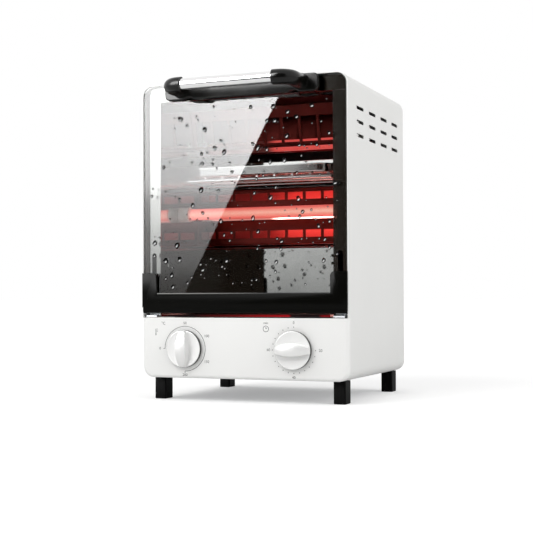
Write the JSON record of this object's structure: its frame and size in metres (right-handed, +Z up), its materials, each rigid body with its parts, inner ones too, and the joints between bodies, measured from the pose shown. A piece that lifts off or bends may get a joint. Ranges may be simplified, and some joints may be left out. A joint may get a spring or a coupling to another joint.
{
  "type": "dry heat sterilizer",
  "caption": "Bench-top dry heat sterilizer: white steel cabinet, polished chamber with quartz heating tubes, bottom-hinged glass door with bar handle, temperature and timer knobs.",
  "frame": {"origin": "on the bench, under the middle of the bounding box", "axes": "+X to the right as the user faces the door, +Y towards the back, +Z up"},
  "size_m": [0.24, 0.267, 0.3485],
  "materials": {
    "shell_white": "satin",
    "panel_white": "satin",
    "plain_steel": "satin",
    "polished_steel": "polished",
    "guard_steel": "satin",
    "screw_steel": "satin",
    "bracket_steel": "satin",
    "fibre_board": "matte",
    "black_plastic": "satin",
    "black_enamel": "satin",
    "control_steel": "satin",
    "bell_chrome": "gloss",
    "brass": "satin",
    "knob": "gloss",
    "coil": "matte",
    "ceramic": "matte",
    "door_glass": "gloss",
    "handle_steel": "gloss",
    "spring_steel": "satin",
    "rack_chrome": "gloss",
    "tray_steel": "polished",
    "tray_aluminium": "satin",
    "block_plastic": "satin",
    "wire_insulation": "matte",
    "foot_rubber": "matte",
    "quartz": "satin"
  },
  "bodies": {
    "cabinet": {"back_panel": "shell_white", "back_screws": "screw_steel", "base_plate": "plain_steel", "base_screws": "screw_steel", "ceramic_caps": "ceramic", "chamber_back": "polished_steel", "chamber_ceiling": "polished_steel", "chamber_floor": "polished_steel", "chamber_left_wall": "polished_steel", "chamber_right_wall": "polished_steel", "control_panel": "panel_white", "control_screws": "screw_steel", "cord_gland": "black_plastic", "door_spring_left": "spring_steel", "door_spring_right": "spring_steel", "foot_front_left": "foot_rubber", "foot_front_right": "foot_rubber", "foot_rear_left": "foot_rubber", "foot_rear_right": "foot_rubber", "heating_coils": "coil", "hinge_bracket_left": "bracket_steel", "hinge_bracket_right": "bracket_steel", "hinge_pins": "screw_steel", "insulation_board": "fibre_board", "left_stile": "polished_steel", "middle_heater_guard": "guard_steel", "outer_shell": "shell_white", "quartz_tube_lower": "quartz", "quartz_tube_middle_front": "quartz", "quartz_tube_middle_rear": "quartz", "quartz_tube_upper": "quartz", "rear_heat_shield": "plain_steel", "right_stile": "polished_steel", "terminal_block": "block_plastic", "thermal_cutout": "ceramic", "thermostat": "control_steel", "timer": "control_steel", "timer_bell": "bell_chrome", "top_rail": "polished_steel", "tube_terminals": "screw_steel", "upper_heater_guard": "guard_steel", "wiring": "wire_insulation"},
    "door": {"door_glass": "door_glass", "door_bottom_bar": "black_enamel", "handle_base_plate": "black_plastic", "handle_arm_left": "black_plastic", "handle_arm_right": "black_plastic", "handle_tube": "handle_steel", "door_screws": "screw_steel", "hinge_arm_left": "screw_steel", "hinge_arm_right": "screw_steel"},
    "temperature_control": {"temperature_knob": "knob", "thermostat_shaft": "brass"},
    "timer_control": {"timer_knob": "knob", "timer_shaft": "brass"},
    "rack": {"wire_rack": "rack_chrome"},
    "tray": {"instrument_tray": "tray_steel"},
    "crumb_drawer": {"crumb_tray": "tray_aluminium"}
  },
  "joints": [
    {"name": "door_hinge", "type": "hinge", "parent": "cabinet", "child": "door", "pos_m": [0, -0.0845, 0.0995], "axis": [1, 0, 0], "range_deg": [0, 90], "stiffness_Nm_per_rad": 0.25, "springref_deg": -34.38, "deforming": ["door_spring_left", "door_spring_right"]},
    {"name": "temperature_turn", "type": "hinge", "parent": "cabinet", "child": "temperature_control", "pos_m": [-0.068, -0.0865, 0.0567], "axis": [0, 1, 0], "range_deg": [-90, 180]},
    {"name": "timer_turn", "type": "hinge", "parent": "cabinet", "child": "timer_control", "pos_m": [0.0594, -0.0865, 0.0567], "axis": [0, 1, 0], "range_deg": [-180, 90]},
    {"name": "rack_slide", "type": "slide", "parent": "cabinet", "child": "rack", "axis": [0, -1, 0], "range_m": [0, 0.071]},
    {"name": "tray_lift", "type": "slide", "parent": "rack", "child": "tray", "axis": [0, 0, 1], "range_m": [0, 0.018]},
    {"name": "crumb_drawer_slide", "type": "slide", "parent": "cabinet", "child": "crumb_drawer", "axis": [0, -1, 0], "range_m": [0, 0.15]}
  ],
  "couplings": [
    {"joint": "rack_slide", "follows": "door_hinge", "m_per_rad": 0.0446}
  ]
}
